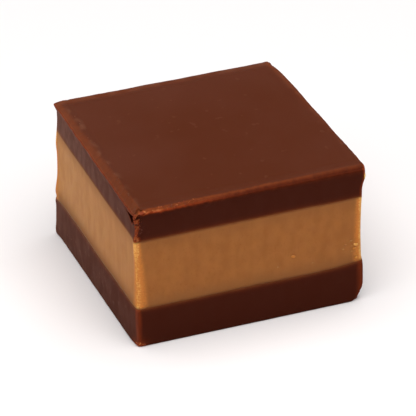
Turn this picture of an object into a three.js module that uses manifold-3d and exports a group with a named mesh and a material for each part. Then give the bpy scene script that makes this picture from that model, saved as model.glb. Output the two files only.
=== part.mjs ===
// A gianduja cube: a squat sweet cut by knife from a slab of three poured layers,
// with a pale hazelnut cream between two layers of milk chocolate gianduja.
// Millimetres, +Z up, origin at the middle of the underside. The front faces -Y, the left side -X.

import * as THREE from 'three';
import { mergeVertices, toCreasedNormals } from 'three/addons/utils/BufferGeometryUtils.js';
import Module from 'manifold-3d';

const wasm = await Module();
wasm.setup();

// Size of the whole block, and the layers from the bottom up
const WIDTH = 25.95;
const DEPTH = 25.5;
const HEIGHT = 16.6;
const BASE_THICK = 4.6;
const CREAM_THICK = 8.1;
const CREAM_TOP = BASE_THICK + CREAM_THICK;

// The four sides. A side's lip round the top, its cut face under the lip and its foot each lie inside the block's
// box by the two insets given, the first at the front or left end of the side and the second at its other end.
// The face draws in under the lip over the height of the tuck. A slope leads from the lip up to the flat top,
// by the drop in height at the same two ends.
const SIDES = {
  left: { lip: [0, 0.2], face: [0.28, 0.72], foot: [0.2, 0.55], tuck: 1.2, slope: 1.15, drop: [0.62, 0.35] },
  right: { lip: [0.2, 0.1], face: [0.16, 0.25], foot: [0.05, 0.2], tuck: 1.5, slope: 0.4, drop: [0.12, 0.12] },
  front: { lip: [0, 0.08], face: [0.43, 0.2], foot: [0.37, 0.13], tuck: 0.8, slope: 0.35, drop: [0.55, 0.55] },
  back: { lip: [0.5, 0.7], face: [0.2, 0.25], foot: [0.05, 0.1], tuck: 1.4, slope: 0.3, drop: [0.03, 0.03] },
};
const LIP_WAVE = 0.08; // depth of the lip's slow waves
const LIP_WAVE_LENGTH = 7.3;
const SLOPE_CURVE = 1.35; // above 1 the slope steepens towards the lip

// Cut faces
const EDGE_RADIUS = 0.5; // upright edges
const FOOT_RADIUS = 0.2; // edge round the underside
const FOOT_BLEND = 0.5; // the face passes into the foot this far above and below the top of the base
const CREAM_WAIST = 0.08; // the soft cream draws in at its middle
const BASE_SWELL = 0.05; // the base swells at its middle

// Places where the knife squeezed the sweet out: the back left edge below the top layer, the foot of that edge,
// and the lip over the front right edge. Each stands out sideways and fades over its rise and its run.
const BULGE = { out: 0.25, height: 7, rise: 5, run: 1.6 };
const FLARE = { out: 0.15, height: 1.2, rise: 0.7, run: 1.8 };
const FLAP = { out: 0.23, height: 15.25, rise: 0.5, run: 1.2 };

// Corner broken off at the front right of the underside, measured along the three edges from that corner
const CHIP = { along: 1.3, up: 1.7, back: 1.2 };
const CHIP_CUTTER = 5;

// Gouge in the left face of the top layer, just under the lip by the front corner, given by its half sizes
const GOUGE = { length: 0.95, width: 0.25, depth: 0.5 };
const GOUGE_FROM_FRONT = 1.55;
const GOUGE_BELOW_TOP = 1.5;
const GOUGE_TILT = THREE.MathUtils.degToRad(30);

// Surface grid: lines across the block, crowded towards its edges, and levels in each layer
const GRID = 20;
const EDGE_CROWD = 2.2;
const LEVEL_CROWD = 2;
const LEVELS = { base: 7, cream: 6, top: 9 };
const CREASE_ANGLE = THREE.MathUtils.degToRad(40);

const gianduja = new THREE.MeshStandardMaterial({ color: 0x5e2f1f, roughness: 0.45, metalness: 0 });
const hazelnutCream = new THREE.MeshStandardMaterial({ color: 0xa8713f, roughness: 0.65, metalness: 0 });

const { smoothstep, lerp } = THREE.MathUtils;

// A bell curve of height 1 and the given half width
function bell(distance, halfWidth) {
  return Math.exp(-((distance / halfWidth) ** 2));
}

// Moves an even place from -1 to 1 so that places crowd towards both ends
function crowd(place) {
  return Math.sign(place) * (1 - (1 - Math.abs(place)) ** EDGE_CROWD);
}

// The value at a place along a side, from -1 to 1, between the values at the side's two ends
function between(ends, place) {
  return lerp(ends[0], ends[1], (1 + place) / 2);
}

// How far the top lies below its full height at a place in plan: u and v run from -1 to 1
function topDrop(u, v) {
  const slopes = [
    { side: SIDES.left, distance: (1 + u) * WIDTH / 2, place: v },
    { side: SIDES.right, distance: (1 - u) * WIDTH / 2, place: v },
    { side: SIDES.front, distance: (1 + v) * DEPTH / 2, place: u },
    { side: SIDES.back, distance: (1 - v) * DEPTH / 2, place: u },
  ];
  let squares = 0;
  for (const { side, distance, place } of slopes) {
    const fall = Math.max(0, 1 - distance / side.slope) ** SLOPE_CURVE;
    squares += (between(side.drop, place) * fall) ** 2;
  }
  return Math.sqrt(squares);
}

// How far a cut face lies inside the block's box, at a height, a depth below the lip and a place along the side
function faceInset(side, z, belowLip, place, along) {
  const tuck = smoothstep(belowLip, 0, side.tuck);
  const footShare = smoothstep(BASE_THICK + FOOT_BLEND - z, 0, 2 * FOOT_BLEND);
  const wave = LIP_WAVE * (1 + Math.sin(2 * Math.PI * along / LIP_WAVE_LENGTH)) / 2;
  const face = lerp(between(side.face, place), between(side.foot, place), footShare);
  let inset = lerp(between(side.lip, place) + wave, face, tuck);
  if (z > BASE_THICK && z < CREAM_TOP) {
    inset += CREAM_WAIST * Math.sin(Math.PI * (z - BASE_THICK) / CREAM_THICK);
  }
  if (z < BASE_THICK) {
    inset -= BASE_SWELL * Math.sin(Math.PI * z / BASE_THICK);
  }
  if (z < FOOT_RADIUS) {
    inset += FOOT_RADIUS - Math.sqrt(FOOT_RADIUS ** 2 - (FOOT_RADIUS - z) ** 2);
  }
  return inset;
}

// Rounds the upright edges: a square corner of side EDGE_RADIUS is drawn in to a quarter disc
function roundUprights(point, low, high) {
  const coreX = THREE.MathUtils.clamp(point.x, low.x + EDGE_RADIUS, high.x - EDGE_RADIUS);
  const coreY = THREE.MathUtils.clamp(point.y, low.y + EDGE_RADIUS, high.y - EDGE_RADIUS);
  const overX = point.x - coreX;
  const overY = point.y - coreY;
  const reach = Math.hypot(overX, overY);
  if (reach > 0) {
    const draw = Math.max(Math.abs(overX), Math.abs(overY)) / reach;
    point.x = coreX + overX * draw;
    point.y = coreY + overY * draw;
  }
}

// How far a squeezed place stands out at a height and a distance along the side from its edge
function squeeze(spot, z, fromEdge) {
  return spot.out * bell(z - spot.height, spot.rise) * bell(fromEdge, spot.run);
}

// A point of the block at a place in plan and a height
function blockPoint(u, v, z) {
  const belowLip = Math.max(0, HEIGHT - topDrop(u, v) - z);
  const alongX = u * WIDTH / 2;
  const alongY = v * DEPTH / 2;
  const low = new THREE.Vector2(
    -WIDTH / 2 + faceInset(SIDES.left, z, belowLip, v, alongY),
    -DEPTH / 2 + faceInset(SIDES.front, z, belowLip, u, alongX),
  );
  const high = new THREE.Vector2(
    WIDTH / 2 - faceInset(SIDES.right, z, belowLip, v, alongY),
    DEPTH / 2 - faceInset(SIDES.back, z, belowLip, u, alongX),
  );
  const point = new THREE.Vector3(lerp(low.x, high.x, (1 + u) / 2), lerp(low.y, high.y, (1 + v) / 2), z);
  roundUprights(point, low, high);
  const fromBack = (1 - v) * DEPTH / 2;
  const fromFront = (1 + v) * DEPTH / 2;
  point.x -= ((1 - u) / 2) ** 2 * (squeeze(BULGE, z, fromBack) + squeeze(FLARE, z, fromBack));
  point.x += ((1 + u) / 2) ** 2 * squeeze(FLAP, z, fromFront);
  return point;
}

// A layer as a closed skin: heightAt gives the height of a place in plan at a level from 0 to 1
function layerSkin(levels, heightAt) {
  const skin = new THREE.BoxGeometry(2, 2, 1, GRID, GRID, levels);
  skin.deleteAttribute('normal');
  skin.deleteAttribute('uv');
  const places = skin.attributes.position;
  for (let i = 0; i < places.count; i += 1) {
    const u = crowd(places.getX(i));
    const v = crowd(places.getY(i));
    const point = blockPoint(u, v, heightAt(places.getZ(i) + 0.5, u, v));
    places.setXYZ(i, point.x, point.y, point.z);
  }
  return mergeVertices(skin);
}

function toSolid(geometry) {
  return new wasm.Manifold(new wasm.Mesh({
    numProp: 3,
    vertProperties: new Float32Array(geometry.attributes.position.array),
    triVerts: new Uint32Array(geometry.index.array),
  }));
}

// Cuts one closed skin out of another
function cut(skin, cutter) {
  const closedCutter = cutter.clone();
  closedCutter.deleteAttribute('normal');
  closedCutter.deleteAttribute('uv');
  const mesh = toSolid(skin).subtract(toSolid(mergeVertices(closedCutter))).getMesh();
  const result = new THREE.BufferGeometry();
  result.setAttribute('position', new THREE.BufferAttribute(mesh.vertProperties, 3));
  result.setIndex(new THREE.BufferAttribute(mesh.triVerts, 1));
  return result;
}

// A block whose lower face lies on the plane through the three ends of the chip
function chipCutter() {
  const corner = new THREE.Vector3(WIDTH / 2 - SIDES.right.foot[0], -DEPTH / 2 + SIDES.front.foot[1], 0);
  const along = corner.clone().add(new THREE.Vector3(-CHIP.along, 0, 0));
  const up = corner.clone().add(new THREE.Vector3(0, 0, CHIP.up));
  const back = corner.clone().add(new THREE.Vector3(0, CHIP.back, 0));
  const plane = new THREE.Plane().setFromCoplanarPoints(along, back, up);
  const turn = new THREE.Quaternion().setFromUnitVectors(new THREE.Vector3(0, 0, 1), plane.normal);
  const cutter = new THREE.BoxGeometry(CHIP_CUTTER, CHIP_CUTTER, CHIP_CUTTER);
  cutter.translate(0, 0, CHIP_CUTTER / 2);
  cutter.applyQuaternion(turn);
  const middle = along.add(up).add(back).divideScalar(3);
  return cutter.translate(middle.x, middle.y, middle.z);
}

// A lens of eight flat faces that bites into the left face, slanting down towards the front corner
function gougeCutter() {
  const v = 2 * GOUGE_FROM_FRONT / DEPTH - 1;
  const place = blockPoint(-1, v, HEIGHT - GOUGE_BELOW_TOP);
  const cutter = new THREE.OctahedronGeometry(1);
  cutter.scale(GOUGE.depth, GOUGE.length, GOUGE.width);
  cutter.rotateX(GOUGE_TILT);
  return cutter.translate(place.x, place.y, place.z);
}

function baseLayer() {
  const skin = layerSkin(LEVELS.base, (level) => BASE_THICK * level ** LEVEL_CROWD);
  return cut(skin, chipCutter());
}

function creamLayer() {
  return layerSkin(LEVELS.cream, (level) => lerp(BASE_THICK, CREAM_TOP, level));
}

function topLayer() {
  const skin = layerSkin(LEVELS.top, (level, u, v) => {
    const rim = HEIGHT - topDrop(u, v);
    return lerp(CREAM_TOP, rim, 1 - (1 - level) ** LEVEL_CROWD);
  });
  return cut(skin, gougeCutter());
}

function named(name, geometry, material) {
  const mesh = new THREE.Mesh(toCreasedNormals(geometry, CREASE_ANGLE), material);
  mesh.name = name;
  return mesh;
}

const giandujaCube = new THREE.Group();
giandujaCube.add(
  named('base_layer', baseLayer(), gianduja),
  named('cream_layer', creamLayer(), hazelnutCream),
  named('top_layer', topLayer(), gianduja),
);

export default giandujaCube;
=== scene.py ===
# The looks of a gianduja cube: a squat sweet of three poured layers, cut by knife, on a pale studio floor.
# Shapes are worked out in millimetres and put into metres when each piece is finished.
import math
import random

import bmesh
import bpy
from mathutils import Euler, Matrix, Vector, noise


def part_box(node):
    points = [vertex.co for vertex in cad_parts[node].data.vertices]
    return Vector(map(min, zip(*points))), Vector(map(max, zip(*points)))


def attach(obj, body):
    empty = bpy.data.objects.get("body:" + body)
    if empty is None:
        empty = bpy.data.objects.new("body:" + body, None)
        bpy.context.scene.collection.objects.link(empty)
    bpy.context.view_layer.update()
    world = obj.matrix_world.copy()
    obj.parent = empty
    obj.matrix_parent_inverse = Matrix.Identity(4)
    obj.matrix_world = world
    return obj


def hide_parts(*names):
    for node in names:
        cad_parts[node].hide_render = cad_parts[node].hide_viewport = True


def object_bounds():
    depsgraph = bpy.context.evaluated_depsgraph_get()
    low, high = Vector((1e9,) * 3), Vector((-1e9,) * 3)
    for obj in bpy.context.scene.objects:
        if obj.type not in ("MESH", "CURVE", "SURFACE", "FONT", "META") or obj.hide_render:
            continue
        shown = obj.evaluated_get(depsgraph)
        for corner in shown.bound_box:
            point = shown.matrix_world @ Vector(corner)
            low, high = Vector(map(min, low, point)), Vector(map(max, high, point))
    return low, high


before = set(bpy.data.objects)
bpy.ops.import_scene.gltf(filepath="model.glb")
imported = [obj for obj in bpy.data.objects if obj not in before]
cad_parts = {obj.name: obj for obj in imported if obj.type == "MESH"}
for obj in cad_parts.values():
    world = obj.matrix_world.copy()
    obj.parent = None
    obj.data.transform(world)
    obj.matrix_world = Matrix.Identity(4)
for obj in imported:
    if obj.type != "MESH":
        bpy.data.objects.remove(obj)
cad_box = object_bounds()

MM = 0.001

# Block sizes, from the parts imported from model.glb
WIDTH = (cad_box[1].x - cad_box[0].x) / MM
DEPTH = (cad_box[1].y - cad_box[0].y) / MM
HEIGHT = cad_box[1].z / MM
BASE_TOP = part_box("base_layer")[1].z / MM
CREAM_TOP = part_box("cream_layer")[1].z / MM
CREAM_THICK = CREAM_TOP - BASE_TOP

# The four sides. The lip, the cut face under it and the foot of a side lie inside the block's box by two
# insets each, at the front or left end of the side and at its other end. The face draws in under the lip
# over the tuck, and leans in by so much for each millimetre of height. A slope leads from the lip up to the
# flat top, with a width and a drop at each end, and a curve of 1 if flat or more if rolled. A low ridge and
# a groove run beside it. The lip is crumbled and the face streaked by so much, from the side's own seed.
SIDES = {
    "left": {
        "lip": (0.0, 0.29), "face": (0.28, 0.72), "foot": (0.12, 0.57), "tuck": 1.2, "lean": 0.0,
        "slope": (0.5, 1.15), "drop": (0.8, 0.12), "curve": 1.35,
        "ridge": 0.04, "groove": 0.015, "crumb": (0.05, 0.04), "streak": 0.012, "seed": 3.1,
    },
    "right": {
        "lip": (0.2, 0.1), "face": (0.15, 0.25), "foot": (0.05, 0.2), "tuck": 1.5, "lean": 0.03,
        "slope": (0.4, 0.4), "drop": (0.12, 0.12), "curve": 1.6,
        "ridge": 0.02, "groove": 0.01, "crumb": (0.03, 0.01), "streak": 0.02, "seed": 17.4,
    },
    "front": {
        "lip": (0.0, 0.08), "face": (0.43, 0.2), "foot": (0.3, 0.05), "tuck": 0.8, "lean": 0.0,
        "slope": (0.9, 0.6), "drop": (0.43, 0.57), "curve": 2.4,
        "ridge": 0.01, "groove": 0.01, "crumb": (0.13, 0.02), "streak": 0.012, "seed": 29.8,
    },
    "back": {
        "lip": (0.5, 0.7), "face": (0.2, 0.25), "foot": (0.05, 0.1), "tuck": 1.4, "lean": 0.0,
        "slope": (0.3, 0.3), "drop": (0.03, 0.03), "curve": 1.6,
        "ridge": 0.05, "groove": 0.05, "crumb": (0.04, 0.01), "streak": 0.03, "seed": 41.2,
    },
}

# Lips and top. The finer part of a lip's crumble is so many times closer along the lip and up it.
LIP_WAVE = 0.05
LIP_WAVE_LENGTH = 7.3
LIP_ROUND = 0.12
CRUMB_PER_MM = 1.4
FINE_CRUMB_ALONG = 2.3
FINE_CRUMB_UP = 2
RIDGE_HALF_WIDTH = 0.25
GROOVE_BEYOND = 0.55
GROOVE_HALF_WIDTH = 0.2
TOP_SWELL = 0.012
TOP_SWELL_PER_MM = 0.22
TOP_SWELL_SEED = 7.7

# Cut faces. The upright edges of the cream are worn rounder towards their foot, until a short way above it.
# The seeds of the streaks and dents are counted from that of their side.
EDGE_RADIUS = 0.42
LIP_EDGE_RADIUS = 0.2
BASE_EDGE_RADIUS = 0.4
CREAM_EDGE_GROWTH = 0.35
CREAM_EDGE_STOP = 0.08
FOOT_RADIUS = 0.2
FOOT_BLEND = 0.5
CREAM_WAIST = 0.08
BASE_SWELL = 0.05
STREAK_PER_MM = 1.3
STREAK_STRETCH = 0.1
STREAK_SEED = 5
DENT = 0.02
DENT_PER_MM = 0.45
DENT_SEED = 9

# Seams between the layers: their waves, the corner in plan by which each rises, and its rises with runs
SEAM_WAVE = 0.06
SEAM_WAVE_PER_MM = 0.16
LOWER_SEAM = {"height": BASE_TOP, "seed": 1.3, "corner": (1, -1), "rises": [(0.25, 2.4)]}
UPPER_SEAM = {"height": CREAM_TOP, "seed": 5.9, "corner": (-1, 1), "rises": [(0.22, 12.0), (0.25, 2.0)]}

# Places where the knife squeezed the sweet out sideways: the upper end of the front left edge of the cream,
# the lip over the front right edge, and waves down the back left edge. The front left edge of the base and
# the back right edge are drawn in. Each fades below and above its height over its two rises, and along the
# side over its run.
CREST = {"out": 0.25, "height": 12.4, "rise": (3.5, 0.8), "run": 0.8}
FLAP = {"out": 0.32, "height": 15.0, "rise": (0.9, 1.0), "run": 1.2}
FOOT_DRAW = {"out": -0.22, "height": 1.0, "rise": (3.0, 4.5), "run": 1.2}
BACK_RIGHT_DRAW = {"out": -0.38, "height": HEIGHT, "rise": (12.0, 12.0), "run": 2.0}
BACK_LEFT_WAVES = (
    {"out": -0.10, "height": 14.6, "rise": (1.3, 2.0), "run": 1.6},
    {"out": 0.12, "height": 11.5, "rise": (1.0, 1.0), "run": 1.6},
    {"out": 0.25, "height": 7.0, "rise": (5.0, 5.0), "run": 1.6},
    {"out": 0.27, "height": 5.6, "rise": (0.7, 1.4), "run": 1.6},
    {"out": -0.09, "height": 3.6, "rise": (1.8, 0.6), "run": 1.6},
    {"out": 0.15, "height": 0.5, "rise": (0.5, 0.9), "run": 0.8},
)

# Broken corner at the front right of the underside, along the three edges that met there
CHIP_ALONG = 1.25
CHIP_UP = 2.0
CHIP_BACK = 1.2
CHIP_SOFTEN = 0.18
CHIP_ROUGH = 0.1
CHIP_ROUGH_PER_MM = 1.7

# Three-cornered gouge in the left face under the lip: its corners from the front and below the top
GOUGE_CORNERS = ((2.95, 1.2), (1.25, 2.4), (0.5, 0.85))
GOUGE_DEPTH = 1.1
GOUGE_RAMP = 0.14
GOUGE_RIM = 0.07
# Worn colour along the gouge's rim, as a painted highlight
GOUGE_RIM_HIGHLIGHT = 0.6

# Crumbling of the front left upright edge of the top layer, about a line inside the block's box. Its finer
# part has a share, and is so many times closer.
CORNER_CRUMBLE = 0.4
CORNER_CRUMBLE_INSIDE = 0.3
CORNER_CRUMBLE_REACH = 0.6
CORNER_CRUMBLE_PER_MM = 1.4
CORNER_FINE_SHARE = 0.6
CORNER_FINE_CLOSER = 2.7

# A crumb's roughness, how close that is over its length, and the shares of its length and of its wear
# between which its width, its thickness and its marks are drawn by chance
CRUMB_ROUGH = 0.4
CRUMB_ROUGH_CLOSE = 2.5
CRUMB_SUBDIVISIONS = 2
CRUMB_SHARES = {"width": (0.4, 0.9), "thickness": (0.3, 0.6), "worn_and_lit": (0.3, 1.0), "scuff_and_sheen": (0.4, 1.0)}
CRUMB_SEEDS = {"gianduja": 12, "cream": 13, "ridge": 14}

# Crumbs along the front lip, from one share of its length to another but mostly at a third, and up to a
# distance inside it, round the front left edge of the top layer, and on the tip of the foot below that.
# Distances from the edge lie on the front face, or on the left face if below 0. Crumbs on the tip lie lower
# by a share for each millimetre from the edge.
LIP_CRUMBS = {
    "count": 48, "along": (0.06, 0.3, 0.22), "inside": 0.28,
    "length": (0.08, 0.22), "wear": 1.0,
}
CORNER_CRUMBS = {
    "count": 44, "from_edge": (-0.25, 0.7), "height": (CREAM_TOP + 0.2, HEIGHT - 0.6),
    "length": (0.08, 0.26),
}
TIP_CRUMBS = {
    "count": 9, "from_edge": (-0.6, 0.9), "height": (0.12, 0.6), "fall": 0.5,
    "length": (0.18, 0.36), "wear": 1.3,
}

# The flake that lies on the front left corner of the top: its X and Y, how far it lies above the top, its
# turn, its length, and its three measures as shares of that
CORNER_FLAKE = {
    "place": (-12.12, -12.72), "lift": 0.06, "turn": math.radians(26),
    "length": 1.1, "shares": (1.0, 0.4, 0.2),
    "marks": {"worn_and_lit": 1.0, "cut": 1.0, "scuff_and_sheen": 0.8},
}

# Flakes along the ridge inside the left lip, over a share of it, scattered to both sides and turned. Their
# pale marks are painted highlights along the ridge.
RIDGE_HIGHLIGHT_FLAKES = {
    "count": 14, "reach": 0.92, "scatter": 0.12, "turn": 0.3,
    "width": 0.12, "length": (0.2, 0.5), "thickness": 0.06,
    "marks": {"worn_and_lit": 0.1, "cut": 0.0, "scuff_and_sheen": 0.6},
}

# Lumps on the front of the cream: X, height, length and wear of each. Faint flecks lie there too, from a
# distance inside the right side to the middle, crowded to the right. Thickness, height and stand out of the
# face are shares of the length. Both kinds are turned, and given scuff and painted sheen by a share with
# what wear adds.
CREAM_LUMPS = (
    (4.87, 7.08, 0.55, 0.3),
    (12.1, 7.0, 0.6, 0.8),
    (11.95, 6.57, 0.4, 0.5),
    (12.2, 5.4, 0.5, 0.6),
)
CREAM_FLECKS = {
    "count": 7, "from_right": 1.0, "crowding": 1.8, "height": (BASE_TOP + 1.2, BASE_TOP + 3.2),
    "length": (0.2, 0.4), "wear": 0.0,
}
LUMP = {
    "thickness": 0.3, "height": (0.4, 0.7), "out": 0.1, "turn": (-0.5, 0.3),
    "scuff_and_sheen": 0.4, "worn_scuff_and_sheen": 0.5,
}

# The sliver on the lip squeezed out at the right, and how far it lies from the middle of that place
SLIVER = {
    "lengths": (0.2, 0.25, 0.85), "shift": Vector((-0.07, 0, 0.15)),
    "marks": {"worn_and_lit": 1.0, "cut": 1.0, "scuff_and_sheen": 0.5},
}

# Mesh density: squares across the top, levels up each layer, and the share of the underside inside its rim.
# A place in plan farther out than the wall share lies on a cut face.
GRID = 200
EDGE_CROWD = 1.3
TOP_LEVELS = 60
CREAM_LEVELS = 60
BASE_LEVELS = 36
LEVEL_CROWD = 1.5
UNDERSIDE_SHARE = 0.93
WALL_SHARE = 0.9999
MIDDLE_LEVEL = 0.5

# Wear of the four sides, at the same two ends: the share of wear on the strip inside the lip and its
# width, how far it rolls over into a dark cut face (none below 0 and whole above 1), the share of wear on
# its inner rim and on the line along the lip, how far down the cut face the wear of the strip fades and how
# notched its end is, and how scuffed the face is. The strip, rim and line are partly worn and partly
# painted highlight and glow where the lip catches the light, and the scuff of a face is partly real and
# partly painted sheen, strongest on the left. The strip holds its wear over a share of its width, the strip
# has painted sheen of its own and the line a painted highlight, and the face has neither scuff nor sheen
# for a way below the lip. These last are plain on three sides.
PLAIN_LIP = {"hold": 0.2, "strip_sheen": 0.0, "line_highlight": 0.0, "plain_below_lip": 0.5}
SIDE_WEAR_AND_HIGHLIGHTS = {
    "left": {
        "strip": (0.28, 0.25), "width": (0.85, 0.95), "roll": (0.0, 0.0), "rim": (0.0, 0.0),
        "line": (0.5, 0.5), "fade": (0.06, 0.06), "notch": (0.5, 0.5), "scuff_and_sheen": (0.48, 1.0),
        "hold": 0.4, "strip_sheen": 0.2, "line_highlight": 0.8, "plain_below_lip": 0.05,
    },
    "right": {
        "strip": (0.1, 0.4), "width": (0.4, 0.9), "roll": (0.5, 0.0), "rim": (0.0, 0.0),
        "line": (0.4, 0.4), "fade": (0.1, 0.1), "notch": (0.5, 0.5), "scuff_and_sheen": (0.3, 0.3),
        **PLAIN_LIP,
    },
    "front": {
        "strip": (0.87, 0.68), "width": (0.23, 0.28), "roll": (-0.45, 2.95), "rim": (0.7, 0.3),
        "line": (0.2, 0.0), "fade": (0.16, 0.45), "notch": (1.0, 0.2), "scuff_and_sheen": (0.05, 0.05),
        **PLAIN_LIP,
    },
    "back": {
        "strip": (0.24, 0.04), "width": (1.2, 0.8), "roll": (0.0, 0.0), "rim": (0.0, 0.0),
        "line": (0.3, 0.1), "fade": (0.1, 0.1), "notch": (0.5, 0.5), "scuff_and_sheen": (0.6, 0.6),
        **PLAIN_LIP,
    },
}
LIP_LINE = 0.1
LIP_NOTCHES_PER_MM = 1.6
LIP_NOTCH_SEED = 6.1
RIM_SHARE = 0.85
# Painted shade: the share by which the wear of the strip is dimmed where it rolls over towards the lip
ROLL_SHADE = 0.75
# Share of the scuff and painted sheen of the cut faces that the base keeps
BASE_SCUFF_AND_SHEEN = 0.66

# Painted highlights in patches along the ridges, drawn as scuffs: their half width, how close they are
# along half a side, and the stretch of the noise over which they come in
RIDGE_HIGHLIGHT = 0.42
RIDGE_PATCHES = 9
RIDGE_PATCH_OVER = (-0.1, 0.4)

# Wear of the upright edges: its share and its half width. It is partly worn colour and partly painted
# highlight and glow where the rounded edges catch the light. On the crumbled edge at the front left it
# widens by the seam below and is broken by pits, which get painted shade. On the cream it widens towards
# the foot, and its middle is bare, a pale painted highlight, over a half width that narrows and fades below
# the top share of the height. On the front left corner of the base it runs along the foot too, up to a
# height and out to a reach.
CRUMBLED_EDGE_WEAR = (1.0, 0.3)
CRUMBLED_FOOT = 0.5
CRUMBLED_FOOT_WEAR = 0.75
CRUMBLED_PITS_PER_MM = 2.2
CRUMBLED_PIT_SEED = 10.8
CRUMBLED_PIT_OVER = (-0.45, -0.05)
CRUMBLED_PIT_SHADE = 0.75
FLAP_EDGE_WEAR = (1.0, 0.3)
TOP_EDGE_WEAR = (0.5, 0.38)
CREAM_LEFT_EDGE = {"half_width": 0.7, "bare_highlight": (0.62, 0.42), "fade": 0.65}
CREAM_RIGHT_EDGE = {"half_width": 0.75, "bare_highlight": (0.45, 0.45), "fade": 0.3}
CREAM_EDGE_WIDENING = 0.5
CREAM_EDGE_TOP_SHARE = 0.4
BASE_LEFT_EDGE_WEAR = (0.43, 0.45)
BASE_RIGHT_EDGE_WEAR = (0.4, 0.7)
BASE_FOOT_WEAR = 1.0
BASE_FOOT_HEIGHT = 0.7
BASE_FOOT_REACH = 0.9

# Half widths of the smear over a seam, of the wear that the knife left beside it in the gianduja and of the
# stain that each seam leaves in the cream, with the shares of wear and stain. Beside the lower seam, near
# the foot, the darkening is mostly painted shade.
SEAM_SMEAR = 0.15
SEAM_WEAR_REACH = 0.4
SEAM_WEAR = 0.12
STAIN_AND_SHADE_REACH = 1.1
UPPER_STAIN = 0.5
LOWER_SEAM_SHADE = 0.95

# What is kept of each place for the materials
MARKS = ("worn_and_lit", "cut", "scuff_and_sheen", "seam", "stain_and_shade", "hollow_shade")
NO_MARKS = dict.fromkeys(MARKS, 0.0)

# Colours
TOP_DARK = (0.088, 0.0212, 0.0092, 1)
# Painted sheen of the poured top
TOP_SHEEN = (0.104, 0.0300, 0.0170, 1)
# Specks of the poured top, and the painted highlights along its ridges
TOP_SPECK_AND_HIGHLIGHT = (0.150, 0.0550, 0.0310, 1)
CUT_GIANDUJA = (0.049, 0.0092, 0.0044, 1)
# Painted shade for the inside of the gouge and of the pits
HOLLOW_SHADE_GIANDUJA = (0.018, 0.0035, 0.0018, 1)
# Scuffed colour, partly real scuffs and partly painted sheen, which is strongest on the left faces
SCUFF_AND_SHEEN_GIANDUJA = (0.172, 0.0840, 0.0640, 1)
SCRATCHED_GIANDUJA = (0.240, 0.1200, 0.0930, 1)
# Worn colours of the gianduja, partly painted glow, and the bare colour, a painted highlight
GIANDUJA_WORN_AND_LIT = (0.27, 0.057, 0.013, 1)
CUT_WORN_AND_LIT = (0.27, 0.043, 0.0115, 1)
GIANDUJA_BARE_HIGHLIGHT = (0.42, 0.130, 0.045, 1)
CREAM_DARK = (0.303, 0.107, 0.0265, 1)
CREAM_PALE = (0.358, 0.130, 0.0330, 1)
CREAM_SPECK = (0.25, 0.080, 0.019, 1)
# Stain, and painted shade beside the lower seam
CREAM_STAIN_AND_SHADE = (0.25, 0.098, 0.0305, 1)
# Scuffed cream, partly real scuffs and partly painted sheen
SCUFF_AND_SHEEN_CREAM = (0.500, 0.235, 0.088, 1)
# Worn colour of the cream, partly painted glow, and the bare colour, a painted highlight
CREAM_WORN_AND_LIT = (0.54, 0.190, 0.040, 1)
CREAM_BARE_HIGHLIGHT = (0.73, 0.375, 0.100, 1)
SEAM_BROWN = (0.15, 0.042, 0.013, 1)
# Seam smear where it is scuffed and given painted sheen
SCUFF_AND_SHEEN_SEAM = (0.22, 0.100, 0.052, 1)
FLOOR_WHITE = (0.9, 0.868, 0.863, 1)
WORLD_WHITE = (1, 1, 1, 1)

# Noises of the finishes: how close each is, its detail, how far it is drawn out upright (less than 1 is
# taller), the stretch of it that counts, and the stretch that this is eased onto, if that isn't 0 to 1
FINE_STREAKS = {"per_mm": 1.6, "detail": 3, "up": 0.07, "over": (0.35, 0.7)}
TALL_STREAKS = {"per_mm": 0.5, "detail": 2, "up": 0.03, "over": (0.3, 0.7)}
RAGGED_WEAR = {"per_mm": 1.8, "detail": 5, "up": 0.35, "over": (0.3, 0.7), "onto": (0.6, 1.1)}
EVEN_WEAR = {**RAGGED_WEAR, "onto": (0.85, 1.1)}
SCUFF_AND_SHEEN_PATCHES = {"per_mm": 0.9, "detail": 4, "up": 0.5, "over": (0.35, 0.65), "onto": (0.7, 1.0)}
SMEAR_PATCHES = {"per_mm": 0.8, "detail": 3, "over": (0.3, 0.7), "onto": (0.7, 1.0)}
TOP_SPECKS = {"per_mm": 1.1, "detail": 1, "over": (0.7, 0.76), "onto": (0, 0.25)}
TOP_CLOUDS = {"per_mm": 0.18, "detail": 3, "over": (0.3, 0.7), "onto": (-0.1, 0.15)}
SCRATCHES = {"per_mm": 1.2, "detail": 4, "over": (0.6, 0.72), "onto": (0, 0.45)}
CREAM_MOTTLE = {"per_mm": 0.9, "detail": 5, "up": 0.6, "over": (0.3, 0.7)}
GRAIN = {"per_mm": 4.5, "detail": 3}

# How far painted sheen pales the poured top towards three of its sides
SHEEN = {"left": 0.6, "right": 0.25, "back": 0.6}

# Finishes: the stretches of wear over which the worn colour, partly painted glow, and the bare colour, a
# painted highlight, come in, what the grain of the cream does to its wear and to its specks, roughness
# (poured, then cut or worn), gloss, the relief of grain and streaks with its depth and strength, and how
# light goes in
GIANDUJA_HIGHLIGHT_OVER = (0.75, 1.1)
GIANDUJA_ROUGHNESS = (0.4, 0.6)
POURED_GLOSS = 0.02
CUT_GLOSS = 0.0
GIANDUJA_RELIEF = {"grain": 0.4, "streak": 0.4, "depth": 0.03, "strength": 0.5}
GIANDUJA_GLOW = {"weight": 0.15, "radius": (1.0, 0.3, 0.12), "scale": 0.6}
CREAM_WORN_AND_LIT_OVER = (0.0, 0.5)
CREAM_HIGHLIGHT_OVER = (0.5, 1.0)
CREAM_GRAIN_WEAR = {"over": (0.4, 0.6), "onto": (0.8, 1.15)}
CREAM_GRAIN_SPECKS = {"over": (0.55, 0.75), "onto": (0, 0.4)}
CREAM_ROUGHNESS = 0.6
CREAM_GLOSS = 0.05
CREAM_RELIEF = {"grain": 0.6, "streak": 0.3, "depth": 0.04, "strength": 0.5}
CREAM_GLOW = {"weight": 0.4, "radius": (1.0, 0.4, 0.12), "scale": 0.8}
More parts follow.
